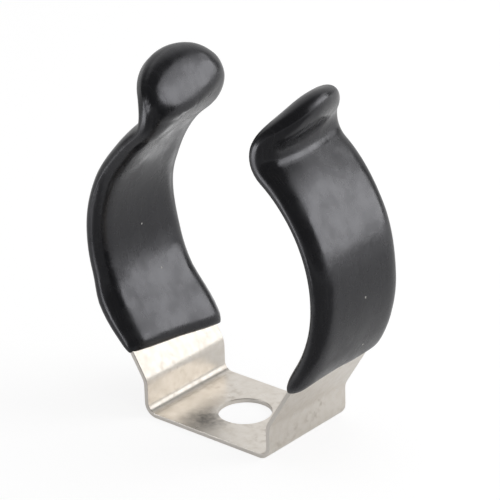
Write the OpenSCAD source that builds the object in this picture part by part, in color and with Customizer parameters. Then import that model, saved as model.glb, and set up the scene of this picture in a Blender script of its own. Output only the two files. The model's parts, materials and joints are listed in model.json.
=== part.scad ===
// Spring clip for a tube: a strip folded from one blank, with a vinyl sleeve dipped onto each arm.
// The origin is the centre of the fixing hole on the underside of the base.
// X runs across the mouth, Y along the tube that is gripped, and Z out of the mouth.

/* [Strip] */
// Width of the spring strip
strip_width = 12.7; // [10:0.1:16]
// Thickness of the spring strip
strip_thickness = 0.5; // [0.4:0.05:0.8]

/* [Base] */
// Outside width of the base across both folds
base_width = 17.4; // [15:0.1:19]
// Inside radius of the folds between base and risers
fold_radius = 1; // [0.5:0.1:1.8]
// Height at which the risers bend into the flares
riser_height = 3.4; // [2.8:0.1:6]
// Diameter of the fixing hole
hole_diameter = 5.8; // [4:0.1:8]

/* [Arms] */
// Diameter of the tube seat between the two sleeves
seat_diameter = 28; // [25:0.1:32]
// Lean of the flares from upright, in degrees
flare_angle = 31.5; // [24:0.5:36]
// Inside radius of the bends between risers and flares
flare_radius = 1.75; // [1:0.05:3]
// Angle above the seat's middle at which an arm turns out of the seat, in degrees
mouth_angle = 55; // [48:0.5:60]

/* [Lips] */
// Inside radius of the neck, where an arm turns outwards
neck_radius = 2.75; // [2:0.05:4]
// Lean of the lips from upright, in degrees
lip_angle = 45; // [30:0.5:55]
// Straight length of the steel lip past its neck
lip_length = 3; // [2:0.1:5]

/* [Vinyl] */
// Thickness of the coat on the faces of the strip
face_coat = 1; // [0.7:0.05:1.4]
// Thickness of the coat on the edges and the ends of the strip
edge_coat = 0.45; // [0.4:0.05:1]
// Radius of the rounded edge where a sleeve begins
dip_radius = 0.8; // [0.4:0.1:1.2]
// Bare flare below the left sleeve, along the strip
left_bare_length = 2.1; // [1:0.1:7]
// Bare flare below the right sleeve, along the strip
right_bare_length = 6.2; // [1:0.1:7]
// Slope of the left sleeve's dip line across the strip, in degrees
left_dip_slope = -6; // [-10:0.5:10]
// Slope of the right sleeve's dip line across the strip, in degrees
right_dip_slope = 5; // [-10:0.5:10]
// Thickness of the left tip, where vinyl ran down as it set, as a multiple of the plain sleeve
left_tip_swell = 1.5; // [1:0.05:1.7]
// Thickness of the right tip, as a multiple of the plain sleeve
right_tip_swell = 1.15; // [1:0.05:1.7]

/* [Hidden] */

// Fineness of true rounds, and steps of the swept bends, round ends and rims
$fn = 96;
BEND_STEP = 5;
END_STEP = 5.5;
END_ANGLE = 88;
RIM_STEPS = 6;
DIP_STEPS = 4;
// Stations along the strip stay at least this far apart
LEAST_GAP = 0.05;
// Vinyl that the true round of the seat takes off the swept arms
SEAT_SKIM = 0.04;
// Share of the coat left at the very start of a sleeve
DIP_START = 0.4;
// Length over which the slope of a dip line dies out
DIP_FADE = 5;
// Share of the rim's turn that is kept where a round end closes
CLOSING_SHARE = 0.96;
// Length by which cutters pass the faces they cut
CUT_PAST = 5;
// Length back from the strip's end at which a tip is thickest, and reach of the swelling
SWELL_BACK = 4.2;
SWELL_REACH = 6.5;
// Sets that the forming left in each arm, which pull the strip and its sleeve the same way: length back
// from the strip's end, distance across it, reach, and move outwards, along the tube and out of the mouth
LEFT_SETS = [
    [16.2, 5.5, 9, [0, -0.97, 0]],
    [10.8, -6.8, 9.5, [0, 0.55, 0.17]],
    [10.8, -6.8, 5, [-0.36, 0, 0]],
    [5.6, 2.4, 9, [-0.15, 1, 0.75]],
    [7.1, 4.2, 8.3, [0.61, -0.94, 0.42]],
];
RIGHT_SETS = [
    [16.8, 6, 9, [0, -0.43, 0]],
    [1.2, -1.8, 9.2, [1.2, -0.49, -0.09]],
    [-0.7, 0.5, 5.9, [-0.42, 0.53, 0.65]],
    [24.1, 6.4, 7.2, [0, -0.46, 0]],
];
// Distance over which a set or a swelling acts in full
FULL_REACH = 1.2;

// Middle line of the strip, in the right half: radii of its bends and places of its straights
half_thickness = strip_thickness / 2;
fold_path = fold_radius + half_thickness;
flare_path = flare_radius + half_thickness;
neck_path = neck_radius + half_thickness;
seat_path = seat_diameter / 2 - SEAT_SKIM + face_coat + half_thickness;
riser_x = base_width / 2 - half_thickness;
flare_x = riser_x + flare_path * (1 - cos(flare_angle));
flare_z = riser_height + flare_path * sin(flare_angle);
// A flare is as long as it takes to meet the seat's round as a tangent, so both arms share one centre
flare_run = (seat_path * cos(flare_angle) - flare_x) / sin(flare_angle);
seat_height = flare_z + flare_run * cos(flare_angle) + seat_path * sin(flare_angle);

// Bends of the strip from the middle of the base to the lip: straight run, bend radius, turn in degrees
BENDS = [
    [riser_x - fold_path, fold_path, 90],
    [riser_height - half_thickness - fold_path, flare_path, -flare_angle],
    [flare_run, seat_path, flare_angle + mouth_angle],
    [0, neck_path, -mouth_angle - lip_angle],
    [lip_length, 0, 0],
];
LAST_BEND = len(BENDS) - 1;
FLARE_BEND = 1;

// Length of the strip along one bend, and up to the end of a bend with its straight run
function arc_length(i) = BENDS[i][1] * abs(BENDS[i][2]) * PI / 180;
function length_to(i) = i < 0 ? 0 : length_to(i - 1) + BENDS[i][0] + arc_length(i);

flare_start = length_to(FLARE_BEND);
strip_length = length_to(LAST_BEND);
// Both the steel and its coat end in a full round about this point of the strip
round_start = strip_length - strip_width / 2;
coat_half_width = strip_width / 2 + edge_coat;

// Directions along the strip and towards the tube, for a heading in the XZ plane
function along(heading) = [cos(heading), sin(heading)];
function inward(heading) = [-sin(heading), cos(heading)];

// Place and heading of the strip's middle line at a length s from the middle of the base
function station(s, i = 0, at = [0, half_thickness], heading = 0) =
    let(
        run = BENDS[i][0],
        radius = BENDS[i][1],
        turn = BENDS[i][2],
        bend_at = at + run * along(heading),
        to_centre = sign(turn) * radius,
        centre = bend_at + to_centre * inward(heading)
    )
    s <= run || i == LAST_BEND
        ? [at + s * along(heading), heading]
        : s <= run + arc_length(i)
            ? bent(centre, to_centre, heading + turn * (s - run) / arc_length(i))
            : let(next = bent(centre, to_centre, heading + turn))
                station(s - run - arc_length(i), i + 1, next[0], next[1]);

function bent(centre, to_centre, heading) = [centre - to_centre * inward(heading), heading];

// A point on the strip: s along it, y across it, and v off its middle line towards the tube
function strip_point(s, y, v) =
    let(
        place = station(s),
        off = place[0] + v * inward(place[1])
    )
    [off[0], y, off[1]];

// Share of a soft pull at a distance from its middle
function softness(distance, reach) =
    let(t = max(0, 1 - max(0, distance - FULL_REACH) / reach))
    t * t * (3 - 2 * t);

// Places of the sets on an arm, with their reach and move
function placed(sets) =
    [for (set = sets) [strip_point(strip_length - set[0], set[1], 0), set[2], set[3]]];

// A point after the sets of its arm, taken one after another
function settled(point, pulls, i = 0) =
    i == len(pulls)
        ? point
        : settled(
            point + softness(norm(point - pulls[i][0]), pulls[i][1]) * pulls[i][2],
            pulls,
            i + 1
        );

// Lengths at which a sweep has a section: the ends of the straights and steps round each bend
path_stops = [
    for (i = [0 : LAST_BEND])
        let(
            bend_start = length_to(i - 1) + BENDS[i][0],
            steps = ceil(abs(BENDS[i][2]) / BEND_STEP)
        )
        each [
            if (BENDS[i][0] > 0) bend_start,
            for (k = [1 : 1 : steps]) bend_start + arc_length(i) * k / steps,
        ]
];

function stops_between(from, to) =
    [for (s = path_stops) if (s > from + LEAST_GAP && s < to - LEAST_GAP) s];
function end_stops(radius) =
    [for (a = [0 : END_STEP : END_ANGLE]) round_start + radius * sin(a)];
function dip_stops(start) =
    [for (k = [0 : DIP_STEPS]) start + dip_radius * (1 - cos(90 * k / DIP_STEPS))];

// Section of the steel: a rectangle that narrows along the full-round end
function steel_section(s, pulls) =
    let(
        past = max(0, s - round_start),
        y = sqrt(pow(strip_width / 2, 2) - past * past)
    )
    [for (corner = [[-1, -1], [1, -1], [1, 1], [-1, 1]])
        settled(strip_point(s, corner[0] * y, corner[1] * half_thickness), pulls)];

// Section of a sleeve: full-round rims on the strip's edges, thinner over the rounded dip edge and thicker
// at the tip
function sleeve_section(s, start, slope, swell, pulls) =
    let(
        dip = max(0, 1 - (s - start) / dip_radius),
        growth = DIP_START + (1 - DIP_START) * sqrt(1 - dip * dip),
        rim_radius = half_thickness + face_coat * growth,
        flat = strip_width / 2 + edge_coat * growth - rim_radius,
        past = max(0, s - round_start),
        rim_turn = past > flat ? CLOSING_SHARE * acos((past - flat) / rim_radius) : 90,
        rim = [
            for (k = [0 : RIM_STEPS])
                let(a = rim_turn * (2 * k / RIM_STEPS - 1))
                [sqrt(pow(flat + rim_radius * cos(a), 2) - past * past), rim_radius * sin(a)]
        ],
        shift = tan(slope) * max(0, 1 - (s - start) / DIP_FADE),
        from_drop = s - strip_length + SWELL_BACK
    )
    [
        for (side = [1, -1], k = [0 : RIM_STEPS])
            let(
                point = rim[side > 0 ? k : RIM_STEPS - k],
                thickening = 1 + (swell - 1) * softness(norm([from_drop, point[0]]), SWELL_REACH)
            )
            settled(
                strip_point(s + side * shift * point[0], side * point[0], thickening * point[1]),
                pulls
            ),
    ];

// Solid through a list of sections, each with the same number of points
module sweep(sections) {
    n = len(sections[0]);
    last = len(sections) - 1;
    polyhedron(
        points = [for (section = sections) each section],
        faces = [
            [for (k = [0 : n - 1]) k],
            for (i = [0 : last - 1], k = [0 : n - 1])
                let(
                    a = i * n + k,
                    b = i * n + (k + 1) % n
                )
                each [[a, a + n, b + n], [a, b + n, b]],
            [for (k = [n - 1 : -1 : 0]) last * n + k],
        ]
    );
}

// Right half of the strip, from the middle of the base to the end of the lip
module half_strip(pulls) {
    stops = concat([0], stops_between(0, round_start), end_stops(strip_width / 2));
    sweep([for (s = stops) steel_section(s, pulls)]);
}

// Vinyl of the right arm, with the tube seat as one true round and the steel's own space in it
module sleeve(bare_length, slope, swell, pulls) {
    start = flare_start + bare_length;
    stops = concat(
        dip_stops(start),
        stops_between(start + dip_radius, round_start),
        end_stops(coat_half_width)
    );
    difference() {
        sweep([for (s = stops) sleeve_section(s, start, slope, swell, pulls)]);
        translate([0, 0, seat_height])
            rotate([90, 0, 0])
                cylinder(d = seat_diameter, h = 2 * (coat_half_width + CUT_PAST), center = true);
        half_strip(pulls);
    }
}

module spring_strip() {
    color("lightgray")
        difference() {
            union() {
                half_strip(placed(RIGHT_SETS));
                mirror([1, 0, 0])
                    half_strip(placed(LEFT_SETS));
            }
            translate([0, 0, half_thickness])
                cylinder(d = hole_diameter, h = strip_thickness + 2 * CUT_PAST, center = true);
        }
}

module left_vinyl_sleeve() {
    color([0.11, 0.11, 0.12])
        mirror([1, 0, 0])
            sleeve(left_bare_length, left_dip_slope, left_tip_swell, placed(LEFT_SETS));
}

module right_vinyl_sleeve() {
    color([0.11, 0.11, 0.12])
        sleeve(right_bare_length, right_dip_slope, right_tip_swell, placed(RIGHT_SETS));
}

spring_strip();
left_vinyl_sleeve();
right_vinyl_sleeve();
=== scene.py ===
# %% [markdown]
# # A spring clip with dipped arms
# The clip is one strip of plated spring steel, folded into a base, two risers and two round arms.
# Each arm has been dipped in black vinyl, which leaves a thick soft sleeve with rounded rims.
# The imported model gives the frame, and every piece here keeps to its sizes and places.

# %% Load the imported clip
import json
import math

import bmesh
import bpy
from mathutils import Matrix, Vector


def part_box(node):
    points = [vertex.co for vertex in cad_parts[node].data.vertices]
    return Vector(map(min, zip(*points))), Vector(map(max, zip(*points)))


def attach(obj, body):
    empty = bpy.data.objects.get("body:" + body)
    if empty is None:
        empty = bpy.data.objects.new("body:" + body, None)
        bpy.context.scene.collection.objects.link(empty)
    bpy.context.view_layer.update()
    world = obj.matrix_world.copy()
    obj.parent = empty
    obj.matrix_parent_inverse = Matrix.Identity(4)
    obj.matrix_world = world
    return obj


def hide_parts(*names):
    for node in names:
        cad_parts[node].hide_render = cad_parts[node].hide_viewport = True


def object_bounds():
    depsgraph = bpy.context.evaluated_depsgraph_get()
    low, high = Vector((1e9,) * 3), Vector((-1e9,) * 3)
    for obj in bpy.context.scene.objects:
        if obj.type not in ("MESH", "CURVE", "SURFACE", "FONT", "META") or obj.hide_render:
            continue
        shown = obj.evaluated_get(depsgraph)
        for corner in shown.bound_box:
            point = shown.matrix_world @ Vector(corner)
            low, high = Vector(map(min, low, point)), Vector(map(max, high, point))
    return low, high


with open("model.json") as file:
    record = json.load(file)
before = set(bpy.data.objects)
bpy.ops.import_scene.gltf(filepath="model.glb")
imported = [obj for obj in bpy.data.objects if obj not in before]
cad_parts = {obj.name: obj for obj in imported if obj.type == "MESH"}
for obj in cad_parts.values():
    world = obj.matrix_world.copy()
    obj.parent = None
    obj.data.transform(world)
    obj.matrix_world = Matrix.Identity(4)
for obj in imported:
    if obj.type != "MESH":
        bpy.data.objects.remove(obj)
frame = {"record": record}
cad_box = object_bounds()

MM = 0.001
cad_size = (cad_box[1] - cad_box[0]) / MM
print("CAD box, mm:", [round(side, 2) for side in cad_size])

# %% [markdown]
# ## Sizes
# The frame knows the hole, the seat and the widths, so those are read from it.
# The rest are the coat and the bends of the strip. A press shop keeps them in a bend table, and so does
# this lesson: all that follows is worked out from the table, so a bend is changed in one place.

# %% Read the sizes that the frame knows
mounts = {mount["name"]: mount for mount in frame["record"]["mounts"]}
HOLE_RADIUS = mounts["fixing_hole"]["dims"]["r_mm"] * MM
THICKNESS = mounts["fixing_hole"]["dims"]["length_mm"] * MM
SEAT_RADIUS = mounts["tube_seat"]["dims"]["r_mm"] * MM
STRIP_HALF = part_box("spring_strip")[1].y
COAT_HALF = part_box("left_vinyl_sleeve")[1].y
half_thickness = THICKNESS / 2
print("half of the strip and of the coat across, mm:", round(STRIP_HALF / MM, 2), round(COAT_HALF / MM, 2))

# %% Write the bend table
RIGHT_ANGLE = math.radians(90)
BASE_WIDTH = 17.4 * MM
FOLD_RADIUS = 1.0 * MM
RISER_HEIGHT = 3.4 * MM
FLARE_RADIUS = 1.75 * MM
FLARE_ANGLE = math.radians(31.5)
MOUTH_ANGLE = math.radians(55)
NECK_RADIUS = 2.75 * MM
LIP_ANGLE = math.radians(45)
LIP_LENGTH = 3.0 * MM
FACE_COAT = 1.0 * MM
SEAT_SKIM = 0.04 * MM

fold_path = FOLD_RADIUS + half_thickness
flare_path = FLARE_RADIUS + half_thickness
neck_path = NECK_RADIUS + half_thickness
seat_path = SEAT_RADIUS - SEAT_SKIM + FACE_COAT + half_thickness
riser_x = BASE_WIDTH / 2 - half_thickness
flare_x = riser_x + flare_path * (1 - math.cos(FLARE_ANGLE))
flare_run = (seat_path * math.cos(FLARE_ANGLE) - flare_x) / math.sin(FLARE_ANGLE)

# Straight run, bend radius and turn of each bend, from the middle of the base to the lip
BENDS = [
    (riser_x - fold_path, fold_path, RIGHT_ANGLE),
    (RISER_HEIGHT - half_thickness - fold_path, flare_path, -FLARE_ANGLE),
    (flare_run, seat_path, FLARE_ANGLE + MOUTH_ANGLE),
    (0, neck_path, -MOUTH_ANGLE - LIP_ANGLE),
    (LIP_LENGTH, 0, 0),
]
fold_start = BENDS[0][0]
flare_start = sum(run + radius * abs(turn) for run, radius, turn in BENDS[:2])
strip_length = sum(run + radius * abs(turn) for run, radius, turn in BENDS)
round_start = strip_length - STRIP_HALF
print("half of the strip along, mm:", round(strip_length / MM, 2))

# %% [markdown]
# ## The fold line
# A press folds the flat blank along a line, and so does this lesson: the line is drawn first.
# It could be typed in as points. Here one point is drawn out by extrude along each straight and by spin
# round each bend, as by hand. Turned into a curve, it bends any flat piece with the Curve modifier.

# %% Draw the fold line
LINE_STEP = math.radians(2)


def begin():
    # An operator acts on all that is selected, so nothing stays selected before a new piece
    if bpy.context.object and bpy.context.object.mode != "OBJECT":
        bpy.ops.object.mode_set(mode="OBJECT")
    bpy.ops.object.select_all(action="DESELECT")


def extrude(x=0.0, y=0.0, z=0.0):
    bpy.ops.mesh.extrude_region_move(TRANSFORM_OT_translate={"value": (x, y, z)})


def draw_fold_line():
    begin()
    bpy.ops.mesh.primitive_plane_add(size=THICKNESS)
    bpy.ops.object.mode_set(mode="EDIT")
    bpy.ops.mesh.merge(type="CENTER")
    bpy.ops.transform.translate(value=(0, 0, half_thickness))
    at = Vector((0, 0, half_thickness))
    heading = 0.0
    for run, radius, turn in BENDS:
        along = Vector((math.cos(heading), 0, math.sin(heading)))
        if run:
            extrude(*(along * run))
            at += along * run
        if turn:
            side = math.copysign(1, turn)
            centre = at + side * radius * Vector((-along.z, 0, along.x))
            bpy.ops.mesh.spin(
                steps=math.ceil(abs(turn) / LINE_STEP),
                angle=abs(turn),
                center=centre,
                axis=(0, side, 0),
            )
            heading += turn
            at = centre - side * radius * Vector((-math.sin(heading), 0, math.cos(heading)))
    bpy.ops.object.mode_set(mode="OBJECT")
    bpy.ops.object.convert(target="CURVE")
    line = bpy.context.object
    line.name = "fold_line"
    line.data.use_deform_bounds = False
    print("fold line ends at, mm:", [round(c / MM, 2) for c in at])
    return line


fold_line = draw_fold_line()

# %% [markdown]
# ## The steel strip
# The blank is a plain strip with a punched hole and round ends. A Boolean could punch the hole,
# but bridging a circle to a rectangle gives clean quads that shade well on polished metal.
# In edit mode an operator works on what is selected, so `pick` selects points by their place.
# Only half of the blank is drawn: it is folded along the line, mirrored and given its thickness.

# %% Punch the base
TINY = 0.002 * MM
HOLE_POINTS = 64
HOLE_RINGS = 4
# Each side of the rectangle gets a quarter of the hole's points
SIDE_CUTS = HOLE_POINTS // 4 - 1


def pick(is_wanted):
    mesh = bmesh.from_edit_mesh(bpy.context.object.data)
    bpy.ops.mesh.select_mode(type="VERT")
    bpy.ops.mesh.select_all(action="DESELECT")
    for vert in mesh.verts:
        vert.select = not vert.hide and is_wanted(vert.co)
    mesh.select_flush(True)
    bmesh.update_edit_mesh(bpy.context.object.data)


begin()
bpy.ops.mesh.primitive_circle_add(vertices=HOLE_POINTS, radius=HOLE_RADIUS)
strip = bpy.context.object
strip.name = "folded_spring_strip"
bpy.ops.object.mode_set(mode="EDIT")
bpy.ops.mesh.select_all(action="DESELECT")
# A plane of size 2 reaches 1 to each side, so it is scaled by half of the base's sides
bpy.ops.mesh.primitive_plane_add(size=2)
bpy.ops.transform.resize(value=(fold_start, STRIP_HALF, 1), center_override=(0, 0, 0))
bpy.ops.mesh.delete(type="ONLY_FACE")
bpy.ops.mesh.subdivide(number_cuts=SIDE_CUTS)
bpy.ops.mesh.select_all(action="SELECT")
bpy.ops.mesh.bridge_edge_loops(number_cuts=HOLE_RINGS, interpolation="LINEAR")
bpy.ops.mesh.select_all(action="SELECT")
bpy.ops.mesh.bisect(plane_co=(0, 0, 0), plane_no=(1, 0, 0), clear_inner=True)
bpy.ops.object.mode_set(mode="OBJECT")
print("half of the base:", len(strip.data.polygons), "faces")

# %% Draw it out to the round end
STEEL_STEP = math.radians(4)
END_STEPS = 14
LAST_END_ANGLE = math.radians(86)


def stops_along(step):
    # Lengths along the strip at which a flat piece needs a cross line to bend well
    stops = []
    length = 0.0
    for run, radius, turn in BENDS:
        if run:
            length += run
            stops.append(length)
        count = math.ceil(abs(turn) / step)
        for number in range(count):
            length += radius * abs(turn) / count
            stops.append(length)
    return stops


bpy.ops.object.mode_set(mode="EDIT")
pick(lambda p: p.x > fold_start - TINY)
drawn_to = fold_start
for stop in stops_along(STEEL_STEP):
    if drawn_to + TINY < stop < round_start - TINY:
        extrude(x=stop - drawn_to)
        drawn_to = stop
extrude(x=round_start - drawn_to)
for number in range(END_STEPS):
    before = LAST_END_ANGLE * number / END_STEPS
    after = LAST_END_ANGLE * (number + 1) / END_STEPS
    extrude(x=STRIP_HALF * (math.sin(after) - math.sin(before)))
    narrower = math.cos(after) / math.cos(before)
    bpy.ops.transform.resize(value=(1, narrower, 1), center_override=(0, 0, 0))
bpy.ops.object.mode_set(mode="OBJECT")
print("half of the flat blank:", len(strip.data.polygons), "faces")

# %% Lay out its flat map
UV_PER_METRE = 100


def lay_out_uv(piece):
    # While a piece is still flat, its own X and Y are the best map. The primitive's own map is removed,
    # because materials would read that one
    while piece.data.uv_layers:
        piece.data.uv_layers.remove(piece.data.uv_layers[0])
    flat_map = piece.data.uv_layers.new(name="flat")
    for loop in piece.data.loops:
        point = piece.data.vertices[loop.vertex_index].co
        flat_map.data[loop.index].uv = (point.x * UV_PER_METRE, point.y * UV_PER_METRE)
    print(piece.name, "has a flat map of", len(flat_map.data), "corners")


lay_out_uv(strip)


# %% Fold it, mirror it and give it thickness
def finish_with(kind, **settings):
    # Adds a modifier to the piece in work and applies it at once
    modifier = bpy.context.object.modifiers.new(kind.lower(), kind)
    for name, value in settings.items():
        setattr(modifier, name, value)
    bpy.ops.object.modifier_apply(modifier=modifier.name)


def tell_box(piece):
    # The first and the seventh corner of a bound box are its lowest and its highest
    low, high = (Vector(piece.bound_box[corner]) / MM for corner in (0, 6))
    print(piece.name, len(piece.data.polygons), "faces, box mm", [round(c, 2) for c in (*low, *high)])


finish_with("CURVE", object=fold_line, deform_axis="POS_X")
finish_with("MIRROR", use_axis=(True, False, False), merge_threshold=TINY, use_mirror_u=True)
finish_with("SOLIDIFY", thickness=THICKNESS, offset=0, use_even_offset=True)
tell_box(strip)

# %% [markdown]
# ## The vinyl sleeves
# A dipped sleeve follows the strip like a thick skin: flat faces, rounded rims and a round tongue at the lip.
# Solidify and Bevel could thicken a copy of the strip, but the rim would crumple at the round end.
# So the section is drawn as one outline and drawn out along the flat strip, and half of it is spun
# round the tip. Then the sleeve is smoothed and folded along the same line as the steel.

# %% Draw the section of a sleeve
FLAT_COLUMNS = 12
RIM_STEPS = 10
RIM_WIDTH = 2.1 * MM
rim_radius = half_thickness + FACE_COAT
flat_half = COAT_HALF - RIM_WIDTH


def draw_section(at):
    # Two flat faces with half-round rims, which are then widened to half ovals
    begin()
    bpy.ops.mesh.primitive_plane_add(size=rim_radius)
    bpy.ops.object.mode_set(mode="EDIT")
    bpy.ops.mesh.merge(type="CENTER")
    bpy.ops.transform.translate(value=(at, -flat_half, rim_radius))
    for side in (1, -1):
        for _ in range(FLAT_COLUMNS):
            extrude(y=side * 2 * flat_half / FLAT_COLUMNS)
        rim_centre = (at, side * flat_half, 0)
        bpy.ops.mesh.spin(steps=RIM_STEPS, angle=math.pi, center=rim_centre, axis=(1, 0, 0))
    bpy.ops.mesh.select_all(action="SELECT")
    bpy.ops.mesh.remove_doubles(threshold=TINY)
    for side in (1, -1):
        pick(lambda p: side * p.y > flat_half + TINY)
        rim_centre = (at, side * flat_half, 0)
        bpy.ops.transform.resize(value=(1, RIM_WIDTH / rim_radius, 1), center_override=rim_centre)


print("rims, mm:", round(RIM_WIDTH / MM, 2), "wide and", round(2 * rim_radius / MM, 2), "thick")

# %% Draw it out to the tip
TIP_STEPS = 14
VINYL_STEP = math.radians(9)
DIP_RADIUS = 1.7 * MM
DIP_FADE = 5.0 * MM


def draw_out_to_the_tip(at):
    pick(lambda p: True)
    first = at + DIP_FADE
    stops = [first] + [stop for stop in stops_along(VINYL_STEP) if stop > first + DIP_RADIUS]
    for stop in stops:
        if stop < round_start - DIP_RADIUS:
            extrude(x=stop - at)
            at = stop
    extrude(x=round_start - at)
    pick(lambda p: p.x > round_start - TINY and p.y > -TINY)
    bpy.ops.mesh.spin(steps=TIP_STEPS, angle=math.pi, center=(round_start, 0, 0), axis=(0, 0, 1))


print("cross lines along an arm:", len(stops_along(VINYL_STEP)))

# %% Round and slope the dip edge
DIP_STEPS = 4
DIP_START = 0.15
edge_coat = COAT_HALF - STRIP_HALF


def round_the_dip_edge(start):
    # The coat starts thin at the dip line and grows along a quarter of an oval
    pick(lambda p: p.x < start + DIP_RADIUS + TINY)
    wide = 1.0
    thick = 1.0
    at = start + DIP_RADIUS
    for number in reversed(range(DIP_STEPS)):
        angle = RIGHT_ANGLE * number / DIP_STEPS
        growth = DIP_START + (1 - DIP_START) * math.sin(angle)
        stop = start + DIP_RADIUS * (1 - math.cos(angle))
        new_wide = (STRIP_HALF + edge_coat * growth) / COAT_HALF
        new_thick = (half_thickness + FACE_COAT * growth) / rim_radius
        extrude(x=stop - at)
        change = (1, new_wide / wide, new_thick / thick)
        bpy.ops.transform.resize(value=change, center_override=(stop, 0, 0))
        wide, thick, at = new_wide, new_thick, stop
    bpy.ops.mesh.edge_face_add()


def slope_the_dip_line(start, slope):
    pick(lambda p: p.x < start + DIP_RADIUS + TINY)
    bpy.ops.transform.rotate(value=slope, orient_axis="Z", center_override=(start, 0, 0))


print("coat at the dip line, mm:", round(FACE_COAT * DIP_START / MM, 2))

# %% [markdown]
# ### The drop at the tip
# When a dipped arm hangs to dry, vinyl runs down and collects in a drop at the lip. Sculpting could swell it,
# but proportional editing does it by numbers: the points nearby move, and those around follow less and less.

# %% Let vinyl run together at the tip
GRAB = 1.4 * MM
SPARE_REACH = 1.15
LINE_WIDTH = 0.6 * MM
FACE_SHARE = 0.6
DROP_BACK = 4.2 * MM
TIP_REACH = 6.5 * MM


def soft(reach):
    return {
        "use_proportional_edit": True,
        "proportional_edit_falloff": "SMOOTH",
        "proportional_size": reach,
    }


def grab(centre):
    # The points within reach of a place, or at least the ones nearest to it
    mesh = bmesh.from_edit_mesh(bpy.context.object.data)
    nearest = min((vert.co - centre).length for vert in mesh.verts)
    pick(lambda p: (p - centre).length < max(GRAB, SPARE_REACH * nearest))


def gather_vinyl(from_tip, middle, half_line, depth, reach):
    # Vinyl gathers along a line across the tube side. The other side is hidden, so it stays where it is
    at = strip_length - from_tip

    def is_on_line(p):
        is_near = abs(p.x - at) < LINE_WIDTH and abs(p.y - middle) < half_line
        return is_near and p.z > FACE_SHARE * rim_radius

    pick(lambda p: p.z < -TINY)
    bpy.ops.mesh.hide()
    pick(is_on_line)
    bpy.ops.transform.translate(value=(0, 0, depth), **soft(reach))
    bpy.ops.mesh.reveal(select=False)


def swell_tip(swell):
    drop = Vector((strip_length - DROP_BACK, 0, 0))
    grab(drop)
    bpy.ops.transform.resize(value=(1, 1, swell), center_override=drop, **soft(TIP_REACH))


print("drop swells from the tip back to, mm:", round((DROP_BACK + TIP_REACH) / MM, 1))

# %% Dip the left arm
SMOOTH_LEVELS = 2
LEFT_BARE = 2.1 * MM
LEFT_SLOPE = math.radians(-6)
LEFT_SWELL = 1.5
# Length back from the tip, middle and half of the line across, depth and reach, in mm
LEFT_GATHERED = [(1.8, -1.6, 4.2, 0.8, 6.0)]


def weld():
    bpy.ops.mesh.select_all(action="SELECT")
    bpy.ops.mesh.remove_doubles(threshold=TINY)
    bpy.ops.mesh.normals_make_consistent(inside=False)


def dip_sleeve(name, bare_length, slope, swell, gathered=()):
    start = flare_start + bare_length
    draw_section(start + DIP_RADIUS)
    sleeve = bpy.context.object
    sleeve.name = name
    draw_out_to_the_tip(start + DIP_RADIUS)
    round_the_dip_edge(start)
    slope_the_dip_line(start, slope)
    weld()
    bpy.ops.object.mode_set(mode="OBJECT")
    finish_with("SUBSURF", levels=SMOOTH_LEVELS, render_levels=SMOOTH_LEVELS)
    bpy.ops.object.mode_set(mode="EDIT")
    for line in gathered:
        gather_vinyl(*(size * MM for size in line))
    swell_tip(swell)
    bpy.ops.object.mode_set(mode="OBJECT")
    lay_out_uv(sleeve)
    finish_with("CURVE", object=fold_line, deform_axis="POS_X")
    return sleeve


def turn_to_the_left():
    # A negative scale turns a shape inside out, and weld turns its faces outwards again
    bpy.ops.object.mode_set(mode="EDIT")
    bpy.ops.mesh.select_all(action="SELECT")
    bpy.ops.transform.resize(value=(-1, 1, 1), center_override=(0, 0, 0))
    weld()
    bpy.ops.object.mode_set(mode="OBJECT")


left_sleeve = dip_sleeve("left_dipped_sleeve", LEFT_BARE, LEFT_SLOPE, LEFT_SWELL, LEFT_GATHERED)
turn_to_the_left()
tell_box(left_sleeve)

# %% Dip the right arm
RIGHT_BARE = 6.2 * MM
RIGHT_SLOPE = math.radians(5)
RIGHT_SWELL = 1.15

right_sleeve = dip_sleeve("right_dipped_sleeve", RIGHT_BARE, RIGHT_SLOPE, RIGHT_SWELL)
tell_box(right_sleeve)

# %% [markdown]
# ## Uneven lips
# No two lips of a cheap clip are alike: the press leaves one a little twisted and the other a little forward.
# A Lattice could bend them, but soft pulls with proportional editing are easier to place and to read.
# Each one moves the steel and its sleeve together, so that they still fit.

# %% Set the left arm
# Length back from the tip, place across, reach, and move outwards, along the tube and up, all in mm
LEFT_SETS = [
    (16.2, 5.5, 9.0, (0.0, -0.97, 0.0)),
    (10.8, -6.8, 9.5, (0.0, 0.55, 0.17)),
    (10.8, -6.8, 5.0, (-0.36, 0.0, 0.0)),
    (5.6, 2.4, 9.0, (-0.15, 1.0, 0.75)),
    (7.1, 4.2, 8.3, (0.61, -0.94, 0.42)),
]


def work_on(piece):
    begin()
    bpy.context.view_layer.objects.active = piece
    piece.select_set(True)


def pull(pieces, centre, move, reach):
    for piece in pieces:
        work_on(piece)
        bpy.ops.object.mode_set(mode="EDIT")
        grab(Vector(centre) * MM)
        bpy.ops.transform.translate(value=Vector(move) * MM, **soft(reach * MM))
        bpy.ops.object.mode_set(mode="OBJECT")


def place_at(length):
    # Where a length along the strip lies once it is folded
    points = [point.co.to_3d() for point in fold_line.data.splines[0].points]
    for before, after in zip(points, points[1:]):
        step = (after - before).length
        if length <= step:
            break
        length -= step
    else:
        length += step
    return before + (after - before).normalized() * length


def set_arm(sleeve, sets, side):
    for from_tip, across, reach, (outwards, along, upwards) in sets:
        centre = place_at(strip_length - from_tip * MM) / MM
        centre = (side * centre.x, across, centre.z)
        pull([strip, sleeve], centre, (side * outwards, along, upwards), reach)
        print(sleeve.name, "pulled at, mm:", [round(c, 1) for c in centre])


set_arm(left_sleeve, LEFT_SETS, side=-1)

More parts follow.
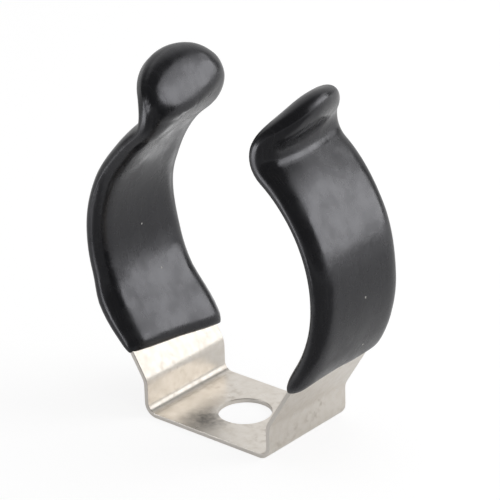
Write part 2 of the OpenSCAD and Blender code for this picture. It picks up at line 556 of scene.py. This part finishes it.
# %% Set the right arm
RIGHT_SETS = [
    (16.8, 6.0, 9.0, (0.0, -0.43, 0.0)),
    (1.2, -1.8, 9.2, (1.2, -0.49, -0.09)),
    (-0.7, 0.5, 5.9, (-0.42, 0.53, 0.65)),
    (24.1, 6.4, 7.2, (0.0, -0.46, 0.0)),
]
set_arm(right_sleeve, RIGHT_SETS, side=1)
bpy.data.objects.remove(fold_line)

# %% [markdown]
# ### Beads at the dip lines
# Where the last vinyl ran off an arm it dried as a small bead, mostly at a corner of the dip line.
# A bead could be a piece of its own, but it is the same skin, so the same soft pull raises it.

# %% Raise the beads
# Sleeve, place, move and reach of each bead, in mm
BEADS = [
    (left_sleeve, (-13.9, -6.3, 9.3), (-0.7, -0.2, 0.1), 5.0),
    (left_sleeve, (-9.6, 6.6, 7.6), (0.3, 0.4, -0.1), 5.0),
    (right_sleeve, (13.2, -2.5, 9.6), (0.26, 0.0, 0.43), 3.5),
    (right_sleeve, (11.8, -6.6, 8.4), (-0.25, -0.1, -0.35), 1.6),
]
for sleeve, centre, move, reach in BEADS:
    pull([sleeve], centre, move, reach)
    print(sleeve.name, "bead at, mm:", centre)

# %% [markdown]
# ### A face that settled flat
# The heavy drop on the left lip sagged as it set, which left its face nearly flat, with a soft edge.
# A bisect would cut it too sharply. The sleeve is turned until that face lies level, the face is squeezed
# towards a plane with proportional editing, and the sleeve is turned back.

# %% Settle the face of the left lip
FACE_CENTRE = Vector((-6.0, -1.5, 36.7)) * MM
FACE_LEAN = math.radians(27.5)
FACE_HALF_WIDTH = 3.4 * MM
FACE_HALF_HEIGHT = 1.5 * MM
FACE_DEPTH = 1.1 * MM
FACE_KEEP = 0.4
FACE_REACH = 3.6 * MM


def is_on_face(p):
    across = (p.y - FACE_CENTRE.y) / FACE_HALF_WIDTH
    upwards = (p.x - FACE_CENTRE.x) / FACE_HALF_HEIGHT
    return math.hypot(across, upwards) < 1


def turn_all(angle):
    bpy.ops.mesh.select_all(action="SELECT")
    bpy.ops.transform.rotate(value=angle, orient_axis="Y", center_override=FACE_CENTRE)


work_on(left_sleeve)
bpy.ops.object.mode_set(mode="EDIT")
turn_all(RIGHT_ANGLE - FACE_LEAN)
pick(lambda p: p.z < FACE_CENTRE.z - FACE_DEPTH)
bpy.ops.mesh.hide()
pick(is_on_face)
bpy.ops.transform.resize(value=(1, 1, FACE_KEEP), center_override=FACE_CENTRE, **soft(FACE_REACH))
bpy.ops.mesh.reveal(select=False)
turn_all(FACE_LEAN - RIGHT_ANGLE)
bpy.ops.object.mode_set(mode="OBJECT")
tell_box(left_sleeve)

# %% [markdown]
# ## Last work on the shapes
# Shearing and tumbling leave steel with edges that are broken by less than a tenth of a millimetre.
# They are bevelled now, because a bevel made before the folds would be stretched by them, and weighted
# normals keep the flat faces flat beside it. The sleeves could be drawn hollow, but a Boolean with the
# strip itself lets the two fit without a gap.

# %% Break the steel's edges
EDGE_BREAK = 0.07 * MM
EDGE_SEGMENTS = 3
SHARP = math.radians(50)
FACE_AREA_WEIGHT = 100

work_on(strip)
finish_with("BEVEL", width=EDGE_BREAK, segments=EDGE_SEGMENTS, limit_method="ANGLE", angle_limit=SHARP)
bpy.ops.object.mode_set(mode="EDIT")
weld()
bpy.ops.object.mode_set(mode="OBJECT")
bpy.ops.object.shade_smooth()
finish_with("WEIGHTED_NORMAL", mode="FACE_AREA", weight=FACE_AREA_WEIGHT, keep_sharp=True)
tell_box(strip)

# %% Hollow the sleeves
for sleeve in (left_sleeve, right_sleeve):
    work_on(sleeve)
    finish_with("BOOLEAN", object=strip, operation="DIFFERENCE", solver="EXACT")
    bpy.ops.object.shade_smooth_by_angle(angle=SHARP)
    tell_box(sleeve)

# %% [markdown]
# ## Plated steel
# Zinc or nickel over cold-rolled strip is bright but never a mirror. It has a warm, mottled tint, brownish
# stains, rolling lines along the strip and short scratches from the bin that it lay in, and its sheared edges
# are duller. Image textures could carry all this, but noise from nodes stays sharp at any distance.
# Metal is seen by its reflections, so most of the work goes into roughness and small bumps.


# %% Start the steel
def new_finish(name):
    finish = bpy.data.materials.new(name)
    finish.use_nodes = True
    tree = finish.node_tree
    return finish, tree, tree.nodes["Principled BSDF"]


def add(tree, kind, **settings):
    node = tree.nodes.new(kind)
    for name, value in settings.items():
        if name in node.inputs.keys():
            node.inputs[name].default_value = value
        else:
            setattr(node, name, value)
    return node


steel_finish, steel, steel_shader = new_finish("plated_steel")
steel_shader.inputs["Metallic"].default_value = 1.0
steel_place = add(steel, "ShaderNodeTexCoord")
steel_body = steel_place.outputs["Object"]
print("new steel:", len(steel.nodes), "nodes")

# %% Mottle its tint
PALE_PLATE = (0.88, 0.83, 0.765)
DULL_PLATE = (0.83, 0.775, 0.70)
MOTTLE_SCALE = 1300.0
MOTTLE_DETAIL = 6.0
TINT_SPREAD = (0.35, 0.65)
OFF_TO_ON = (0, 1)
# Sockets of the Mix node that hold its colours
FIRST_COLOUR = 6
SECOND_COLOUR = 7
MIXED_COLOUR = 2


def noise(tree, where, scale, detail):
    node = add(tree, "ShaderNodeTexNoise", Scale=scale, Detail=detail)
    tree.links.new(where, node.inputs["Vector"])
    return node.outputs["Fac"]


def remap(tree, source, old, new):
    node = add(tree, "ShaderNodeMapRange")
    for name, value in zip(("From Min", "From Max", "To Min", "To Max"), (*old, *new)):
        node.inputs[name].default_value = value
    tree.links.new(source, node.inputs["Value"])
    return node.outputs["Result"]


def tint(tree, amount, first, second):
    # The first colour where the amount is 0, the second where it is 1
    node = add(tree, "ShaderNodeMix", data_type="RGBA")
    tree.links.new(amount, node.inputs["Factor"])
    if isinstance(first, tuple):
        node.inputs[FIRST_COLOUR].default_value = (*first, 1)
    else:
        tree.links.new(first, node.inputs[FIRST_COLOUR])
    node.inputs[SECOND_COLOUR].default_value = (*second, 1)
    return node.outputs[MIXED_COLOUR]


plate_mottle = noise(steel, steel_body, MOTTLE_SCALE, MOTTLE_DETAIL)
is_dull = remap(steel, plate_mottle, TINT_SPREAD, OFF_TO_ON)
plate_colour = tint(steel, is_dull, PALE_PLATE, DULL_PLATE)
print("mottled steel:", len(steel.nodes), "nodes")

# %% Add stains, and a darker patch beside the hole
STAIN = (0.56, 0.50, 0.43)
CLOUD_SCALE = 260.0
CLOUD_DETAIL = 3.0
FINE_STAIN = (0.5, 0.66)
SLOW_STAIN = (0.52, 0.7)
STAIN_DEPTH = (0, 0.6)
DARK_PATCH = (0.24, 0.23, 0.22)
DARK_PATCH_PLACE = Vector((-2.2, -3.8, 0.5)) * MM
DARK_PATCH_FADE = (0.3 * MM, 3.0 * MM)
DARK_PATCH_SPREAD = (0.3, 0.62)
DARK_PATCH_DEPTH = (0.25, 1)
ON_TO_OFF = (1, 0)


def combine(tree, operation, first, second):
    node = add(tree, "ShaderNodeMath", operation=operation)
    tree.links.new(first, node.inputs[0])
    if isinstance(second, float):
        node.inputs[1].default_value = second
    else:
        tree.links.new(second, node.inputs[1])
    return node.outputs["Value"]


# Stains lie where the fine and the slow pattern are both strong
clouds = noise(steel, steel_body, CLOUD_SCALE, CLOUD_DETAIL)
fine_part = remap(steel, plate_mottle, FINE_STAIN, OFF_TO_ON)
slow_part = remap(steel, clouds, SLOW_STAIN, STAIN_DEPTH)
plate_colour = tint(steel, combine(steel, "MULTIPLY", fine_part, slow_part), plate_colour, STAIN)
# A darker colour is mixed in round one fixed place beside the hole, fading out with distance and in patches
away = add(steel, "ShaderNodeVectorMath", operation="DISTANCE")
away.inputs[1].default_value = DARK_PATCH_PLACE
steel.links.new(steel_body, away.inputs[0])
near = remap(steel, away.outputs["Value"], DARK_PATCH_FADE, ON_TO_OFF)
patchy = remap(steel, plate_mottle, DARK_PATCH_SPREAD, DARK_PATCH_DEPTH)
plate_colour = tint(steel, combine(steel, "MULTIPLY", near, patchy), plate_colour, DARK_PATCH)
print("stained steel:", len(steel.nodes), "nodes")

# %% Dull the sheared edges
SHEARED = (0.74, 0.70, 0.65)
EDGE_FACING = (0.6, 0.9)

# Sheared edges are the faces that look along the tube
facing = add(steel, "ShaderNodeSeparateXYZ")
steel.links.new(steel_place.outputs["Normal"], facing.inputs["Vector"])
along_tube = combine(steel, "ABSOLUTE", facing.outputs["Y"], 0.0)
is_edge = remap(steel, along_tube, EDGE_FACING, OFF_TO_ON)
plate_colour = tint(steel, is_edge, plate_colour, SHEARED)
steel.links.new(plate_colour, steel_shader.inputs["Base Color"])
print("steel with dull edges:", len(steel.nodes), "nodes")

# %% Draw rolling lines and scratches
STREAK_DETAIL = 3.0
# Turn from the strip's length in degrees, and scale along and across it
ROLLING_LINES = (0, (2, 110, 1))
# The same, with the part of the noise that is kept as lines
SCRATCHES = [(28, (3, 90, 1), (0.64, 0.70)), (-52, (4, 110, 1), (0.66, 0.72))]


def streaks(tree, flat_map, turn, scale):
    # Noise drawn out into lines on the flat map
    stretch = add(tree, "ShaderNodeMapping")
    stretch.inputs["Rotation"].default_value = (0, 0, math.radians(turn))
    stretch.inputs["Scale"].default_value = scale
    tree.links.new(flat_map, stretch.inputs["Vector"])
    return noise(tree, stretch.outputs["Vector"], 1.0, STREAK_DETAIL)


def crossed_lines(tree, flat_map, line_sets):
    first, second = (
        remap(tree, streaks(tree, flat_map, turn, scale), kept, OFF_TO_ON)
        for turn, scale, kept in line_sets
    )
    return combine(tree, "MAXIMUM", first, second)


rolled = streaks(steel, steel_place.outputs["UV"], *ROLLING_LINES)
scratched = crossed_lines(steel, steel_place.outputs["UV"], SCRATCHES)
print("scratched steel:", len(steel.nodes), "nodes")

# %% Set the gloss and the bumps of the steel
LINES_AND_MOTTLE = (0.7, 1.3)
PLATE_ROUGHNESS = (0.27, 0.38)
SCRATCH_ROUGHNESS = (0.0, 0.42)
EDGE_ROUGHNESS = (0.0, 0.40)
DENT_SCALE = 200.0
DENT_DETAIL = 2.0
# Strength and depth of each kind of bump
DENTS = (0.06, 0.3 * MM)
LINE_GROOVES = (0.25, 0.02 * MM)
SCRATCH_GROOVES = (0.2, 0.006 * MM)


def raise_bumps(tree, shader, bumps):
    # Bumps on bumps: each is a pattern, its strength and its depth in metres
    normal = None
    for height, strength, depth in bumps:
        node = add(tree, "ShaderNodeBump", Strength=strength, Distance=depth)
        tree.links.new(height, node.inputs["Height"])
        if normal:
            tree.links.new(normal, node.inputs["Normal"])
        normal = node.outputs["Normal"]
    tree.links.new(normal, shader.inputs["Normal"])


rough = remap(steel, combine(steel, "ADD", rolled, plate_mottle), LINES_AND_MOTTLE, PLATE_ROUGHNESS)
rough = combine(steel, "MAXIMUM", rough, remap(steel, scratched, OFF_TO_ON, SCRATCH_ROUGHNESS))
rough = combine(steel, "MAXIMUM", rough, remap(steel, is_edge, OFF_TO_ON, EDGE_ROUGHNESS))
steel.links.new(rough, steel_shader.inputs["Roughness"])
raise_bumps(steel, steel_shader, [
    (noise(steel, steel_body, DENT_SCALE, DENT_DETAIL), *DENTS),
    (rolled, *LINE_GROOVES),
    (scratched, *SCRATCH_GROOVES),
])
print("finished steel:", len(steel.nodes), "nodes")

# %% [markdown]
# ## Dipped vinyl
# The sleeve is near black with a soft gloss. Dipping leaves faint ripples and a fine orange peel,
# handling leaves scuffs, and a few pale specks of dust stick to it. Specks could be small meshes,
# but a cell pattern with one speck in a few of its cells costs nothing and can be moved by one number.

# %% Start the vinyl with specks of dust
VINYL_IOR = 1.53
VINYL_SHEEN = (0.94, 0.94, 1.0, 1)
DUST_CELLS = 5.0
DUST_SIZE = 0.06
CLEAN_SHARE = 0.94
FACE_FACING = 0.6

vinyl_finish, vinyl, vinyl_shader = new_finish("dipped_vinyl")
vinyl_shader.inputs["IOR"].default_value = VINYL_IOR
vinyl_shader.inputs["Specular Tint"].default_value = VINYL_SHEEN
vinyl_place = add(vinyl, "ShaderNodeTexCoord")
vinyl_body = vinyl_place.outputs["Object"]
cells = add(vinyl, "ShaderNodeTexVoronoi", voronoi_dimensions="2D", Scale=DUST_CELLS)
vinyl.links.new(vinyl_place.outputs["UV"], cells.inputs["Vector"])
chance = add(vinyl, "ShaderNodeSeparateColor")
vinyl.links.new(cells.outputs["Color"], chance.inputs["Color"])
is_small = combine(vinyl, "LESS_THAN", cells.outputs["Distance"], DUST_SIZE)
is_dusty = combine(vinyl, "GREATER_THAN", chance.outputs["Red"], CLEAN_SHARE)
dust = combine(vinyl, "MULTIPLY", is_small, is_dusty)
# On the rims, which face along the tube, the flat map would draw a speck out into a line
vinyl_facing = add(vinyl, "ShaderNodeSeparateXYZ")
vinyl.links.new(vinyl_place.outputs["Normal"], vinyl_facing.inputs["Vector"])
vinyl_along_tube = combine(vinyl, "ABSOLUTE", vinyl_facing.outputs["Y"], 0.0)
is_face = combine(vinyl, "LESS_THAN", vinyl_along_tube, FACE_FACING)
dust = combine(vinyl, "MULTIPLY", dust, is_face)
print("dusty vinyl:", len(vinyl.nodes), "nodes")

# %% Scuff it and colour it
VINYL = (0.0075, 0.0075, 0.0085)
WORN_VINYL = (0.013, 0.013, 0.014)
DUST = (0.36, 0.35, 0.33)
# Turn in degrees, scale along and across, and the part of the noise that is kept as lines
SCUFFS = [(35, (2.5, 40, 1), (0.55, 0.72)), (-62, (3, 55, 1), (0.58, 0.74))]

scuffed = crossed_lines(vinyl, vinyl_place.outputs["UV"], SCUFFS)
vinyl_colour = tint(vinyl, scuffed, VINYL, WORN_VINYL)
vinyl_colour = tint(vinyl, dust, vinyl_colour, DUST)
vinyl.links.new(vinyl_colour, vinyl_shader.inputs["Base Color"])
print("scuffed vinyl:", len(vinyl.nodes), "nodes")

# %% Set the gloss and the bumps of the vinyl
GLOSS_SCALE = 500.0
GLOSS_DETAIL = 8.0
GLOSS_SPREAD = (0.3, 0.7)
VINYL_ROUGHNESS = (0.17, 0.35)
SCUFF_ROUGHNESS = (0.0, 0.04)
DUST_ROUGHNESS = (0.0, 0.7)
RIPPLE_SCALE = 330.0
RIPPLE_DETAIL = 2.0
PEEL_SCALE = 2200.0
PEEL_DETAIL = 3.0
# Strength and depth of each kind of bump
RIPPLES = (0.10, 0.4 * MM)
ORANGE_PEEL = (0.16, 0.04 * MM)

gloss = noise(vinyl, vinyl_body, GLOSS_SCALE, GLOSS_DETAIL)
rough = remap(vinyl, gloss, GLOSS_SPREAD, VINYL_ROUGHNESS)
rough = combine(vinyl, "ADD", rough, remap(vinyl, scuffed, OFF_TO_ON, SCUFF_ROUGHNESS))
rough = combine(vinyl, "MAXIMUM", rough, remap(vinyl, dust, OFF_TO_ON, DUST_ROUGHNESS))
vinyl.links.new(rough, vinyl_shader.inputs["Roughness"])
raise_bumps(vinyl, vinyl_shader, [
    (noise(vinyl, vinyl_body, RIPPLE_SCALE, RIPPLE_DETAIL), *RIPPLES),
    (noise(vinyl, vinyl_body, PEEL_SCALE, PEEL_DETAIL), *ORANGE_PEEL),
])
print("finished vinyl:", len(vinyl.nodes), "nodes")

# %% [markdown]
# ## Dress the pieces
# The real clip has three pieces in two finishes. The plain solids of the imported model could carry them,
# but the pieces made here have the softer shapes, so each one stands for its solid.
# All of them ride on the one body, because nothing on the clip turns or slides.

# %% Dress the pieces and tie them to the frame
for piece, node, finish, slot in (
    (strip, "spring_strip", steel_finish, "plated_steel"),
    (left_sleeve, "left_vinyl_sleeve", vinyl_finish, "black_vinyl"),
    (right_sleeve, "right_vinyl_sleeve", vinyl_finish, "black_vinyl"),
):
    piece.data.materials.clear()
    piece.data.materials.append(finish)
    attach(piece, "root")
    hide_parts(node)
    print(piece.name, "stands for", node)

# %% [markdown]
# ## Camera
# The photograph looks down into the mouth from the front right, with a long lens.
# The view could be set by eye, but here it was found by matching the outline of the clip, so the numbers
# are not round. The Standard view shows each colour as it is written.

# %% Place the camera
VIEW_AZIMUTH = math.radians(40.74)
VIEW_ELEVATION = math.radians(24.31)
VIEW_ROLL = math.radians(-1.66)
VIEW_DISTANCE = 272.93 * MM
VIEW_TARGET = Vector((3.349, -2.332, 21.166)) * MM
PICTURE_SIDE = 500
FOCAL_PIXELS = 2664.6
SENSOR = 36.0
NEAREST_SEEN = 10 * MM

back = Vector((
    math.sin(VIEW_AZIMUTH) * math.cos(VIEW_ELEVATION),
    -math.cos(VIEW_AZIMUTH) * math.cos(VIEW_ELEVATION),
    math.sin(VIEW_ELEVATION),
))
level_right = Vector((math.cos(VIEW_AZIMUTH), math.sin(VIEW_AZIMUTH), 0))
level_up = back.cross(level_right)
right = level_right * math.cos(VIEW_ROLL) + level_up * math.sin(VIEW_ROLL)
up = back.cross(right)

lens = bpy.data.cameras.new("photo_view")
lens.sensor_width = SENSOR
lens.lens = FOCAL_PIXELS * SENSOR / PICTURE_SIDE
lens.clip_start = NEAREST_SEEN
camera = bpy.data.objects.new("photo_view", lens)
bpy.context.scene.collection.objects.link(camera)
turned = Matrix((right, up, back)).transposed().to_4x4()
camera.matrix_world = Matrix.Translation(VIEW_TARGET + back * VIEW_DISTANCE) @ turned
bpy.context.scene.camera = camera
bpy.context.scene.view_settings.view_transform = "Standard"
print("lens, mm:", round(lens.lens, 1))

# %% [markdown]
# ## Floor
# The clip stands on white paper. Black vinyl and bright steel only show what stands round them,
# so the floor matters as much as the finishes. Strong lamps could make it white, but they would burn out the
# steel. Light Path gives it one look for the camera, one for reflections and one for bounced light instead.

# %% Lay the pale floor
FLOOR_SIDE = 4

begin()
bpy.ops.mesh.primitive_plane_add(size=FLOOR_SIDE)
floor = bpy.context.object
floor.name = "floor"
print("floor:", FLOOR_SIDE, "m wide")

# %% Give it a look for each kind of ray
# How white the lit paper is, and how much plain white is added, as each kind of ray sees it
BOUNCED_FLOOR = (0.8, 0.0)
MIRRORED_FLOOR = (0.55, 0.28)
DIRECT_FLOOR = (0.22, 0.84)


def floor_look(tree, whiteness, glow):
    lit = add(tree, "ShaderNodeBsdfDiffuse", Color=(whiteness, whiteness, whiteness, 1))
    plain = add(tree, "ShaderNodeEmission", Strength=glow)
    both = add(tree, "ShaderNodeAddShader")
    tree.links.new(lit.outputs[0], both.inputs[0])
    tree.links.new(plain.outputs[0], both.inputs[1])
    return both.outputs[0]


def choose(tree, is_second, first, second):
    mix = add(tree, "ShaderNodeMixShader")
    tree.links.new(is_second, mix.inputs["Fac"])
    tree.links.new(first, mix.inputs[1])
    tree.links.new(second, mix.inputs[2])
    return mix.outputs[0]


def seen_directly(tree, path):
    # 1 for the rays that see the background as such, straight or through glass
    straight = path.outputs["Is Camera Ray"]
    return combine(tree, "MAXIMUM", straight, path.outputs["Is Transmission Ray"])


floor_finish = bpy.data.materials.new("pale_floor")
floor_finish.use_nodes = True
paper = floor_finish.node_tree
paper.nodes.clear()
path = add(paper, "ShaderNodeLightPath")
bounced = floor_look(paper, *BOUNCED_FLOOR)
mirrored = floor_look(paper, *MIRRORED_FLOOR)
direct = floor_look(paper, *DIRECT_FLOOR)
look = choose(paper, path.outputs["Is Glossy Ray"], bounced, mirrored)
look = choose(paper, seen_directly(paper, path), look, direct)
output = add(paper, "ShaderNodeOutputMaterial")
paper.links.new(look, output.inputs["Surface"])
floor.data.materials.append(floor_finish)
print("pale floor:", len(paper.nodes), "nodes")

# %% [markdown]
# ## Tent
# Small bright things are photographed in a white tent that is open towards the viewer. A dome of cloth could
# be modelled, but the world does the same. The camera sees it plain white. Reflections see it white behind
# the clip and dark on the viewer's side, which gives the steel and the vinyl their contrast.

# %% White tent that is dark on the viewer's side
ROOM_LIGHT = 0.5
DARK_SIDE = 0.16
WHITE = 1.0
TENT_AZIMUTH = 131
TENT_ELEVATION = 20
TENT_EDGE = (0.5, 0.85)


def toward(azimuth, elevation):
    azimuth = math.radians(azimuth)
    elevation = math.radians(elevation)
    level = math.cos(elevation)
    return Vector((level * math.cos(azimuth), level * math.sin(azimuth), math.sin(elevation)))


world = bpy.data.worlds.new("photo_tent")
bpy.context.scene.world = world
world.use_nodes = True
tent = world.node_tree
tent.nodes.clear()
direction = add(tent, "ShaderNodeTexCoord")
nearness = add(tent, "ShaderNodeVectorMath", operation="DOT_PRODUCT")
nearness.inputs[1].default_value = toward(TENT_AZIMUTH, TENT_ELEVATION)
tent.links.new(direction.outputs["Generated"], nearness.inputs[0])
shade = remap(tent, nearness.outputs["Value"], TENT_EDGE, (DARK_SIDE, WHITE))
shade.node.interpolation_type = "SMOOTHSTEP"
path = add(tent, "ShaderNodeLightPath")
mirrored = add(tent, "ShaderNodeMix", data_type="FLOAT", A=ROOM_LIGHT)
tent.links.new(path.outputs["Is Glossy Ray"], mirrored.inputs["Factor"])
tent.links.new(shade, mirrored.inputs["B"])
level = add(tent, "ShaderNodeMix", data_type="FLOAT", B=WHITE)
tent.links.new(seen_directly(tent, path), level.inputs["Factor"])
tent.links.new(mirrored.outputs["Result"], level.inputs["A"])
air = add(tent, "ShaderNodeBackground")
tent.links.new(level.outputs["Result"], air.inputs["Strength"])
output = add(tent, "ShaderNodeOutputWorld")
tent.links.new(air.outputs["Background"], output.inputs["Surface"])
print("tent:", len(tent.nodes), "nodes, room light", ROOM_LIGHT)

# %% [markdown]
# ## Lamps
# A low softbox at the back right gives the broad grey sheen on both arms, with a clear lower edge and
# a haze above it. In the steel it would burn out, so light linking gives the steel a dimmer, taller lamp.
# A strip at the front draws the thin bright line along both front rims, and a weak lamp behind lights
# the crease of the left neck. Spot lamps would leave hard dots in the gloss, so all are area lamps.

# %% Soft lamps
LAMP_AIM = Vector((0, 0, 20)) * MM
both_sleeves = [left_sleeve, right_sleeve]
# Azimuth and elevation, distance, width and height in mm, how many times white it looks, and what it lights
LAMPS = [
    ("right_softbox", (44, 15), 320, (210, 155), 4.5, [*both_sleeves, floor]),
    ("softbox_on_steel", (46, 20), 320, (240, 210), 1.45, [strip]),
    ("softbox_haze", (52, 35), 320, (240, 80), 2.2, [*both_sleeves, floor]),
    ("rim_strip", (-102, -2), 64, (22, 35), 4.5, both_sleeves),
    ("crease_lamp", (116, -27), 34, (12, 9), 1.0, [left_sleeve]),
]
OVERHEAD = ("overhead", (90, 80), 500, (400, 400), 1.2)


def soft_lamp(name, angles, distance, size, brightness):
    lamp = bpy.data.lights.new(name, "AREA")
    lamp.shape = "RECTANGLE"
    lamp.size = size[0] * MM
    lamp.size_y = size[1] * MM
    lamp.energy = brightness * math.pi * lamp.size * lamp.size_y
    holder = bpy.data.objects.new(name, lamp)
    bpy.context.scene.collection.objects.link(holder)
    side = toward(*angles)
    facing_clip = side.to_track_quat("Z", "Y").to_matrix().to_4x4()
    holder.matrix_world = Matrix.Translation(LAMP_AIM + side * distance * MM) @ facing_clip
    holder.visible_camera = False
    print(name, "energy, W:", round(lamp.energy, 3))
    return holder


def shine_on(lamp, pieces):
    group = bpy.data.collections.new(lamp.name + "_lights")
    for piece in pieces:
        group.objects.link(piece)
    lamp.light_linking.receiver_collection = group


for *lamp_values, lit_pieces in LAMPS:
    shine_on(soft_lamp(*lamp_values), lit_pieces)
overhead = soft_lamp(*OVERHEAD)
overhead.visible_glossy = False

# %% [markdown]
# ## Cards
# Photographers lay cards round a glossy thing. The floor in front of the clip would show as white
# in every rim, so a grey card lies there and keeps the viewer's side dark. A small white card at the
# front left puts a bright line on the upper rims, and stands so close that only they catch all of it.
# Lamps could do this too, but a card has clear edges. Only reflections see the cards.

# %% Lay the grey card
GREY = (0.5, 0.5, 0.5, 1)
GREY_ROUGHNESS = 0.9
GREY_WIDTH = 400 * MM
GREY_DEPTH = 200 * MM
GREY_AWAY = 118 * MM
GREY_LIFT = 0.1 * MM


def add_card(name, width, height, turn, place):
    begin()
    bpy.ops.mesh.primitive_plane_add(size=1)
    card = bpy.context.object
    card.name = name
    card.scale = (width, height, 1)
    card.rotation_euler = turn
    card.location = place
    bpy.ops.object.transform_apply(location=True, rotation=True, scale=True)
    card.visible_camera = False
    card.visible_diffuse = False
    card.visible_shadow = False
    card.visible_transmission = False
    print(name, "mm:", round(width / MM), "by", round(height / MM))
    return card


to_viewer = Vector((back.x, back.y, 0)).normalized()
grey_place = to_viewer * GREY_AWAY + Vector((0, 0, GREY_LIFT))
grey_card = add_card("grey_card", GREY_WIDTH, GREY_DEPTH, (0, 0, VIEW_AZIMUTH), grey_place)
grey_finish, grey, grey_shader = new_finish("grey_card")
grey_shader.inputs["Base Color"].default_value = GREY
grey_shader.inputs["Roughness"].default_value = GREY_ROUGHNESS
grey_shader.inputs["Specular IOR Level"].default_value = 0.0
grey_card.data.materials.append(grey_finish)

# %% Stand the white card
CARD_SIDE = 28 * MM
CARD_BOTTOM = 12 * MM
CARD_X = -33 * MM
CARD_Y = -50 * MM
CARD_TURN = math.radians(-38)
CARD_GLOW = 4.5

white_place = (CARD_X, CARD_Y, CARD_BOTTOM + CARD_SIDE / 2)
white_card = add_card("white_card", CARD_SIDE, CARD_SIDE, (RIGHT_ANGLE, 0, CARD_TURN), white_place)
white_finish = bpy.data.materials.new("white_card")
white_finish.use_nodes = True
white = white_finish.node_tree
white.nodes.clear()
glow = add(white, "ShaderNodeEmission", Strength=CARD_GLOW)
output = add(white, "ShaderNodeOutputMaterial")
white.links.new(glow.outputs[0], output.inputs["Surface"])
white_card.data.materials.append(white_finish)
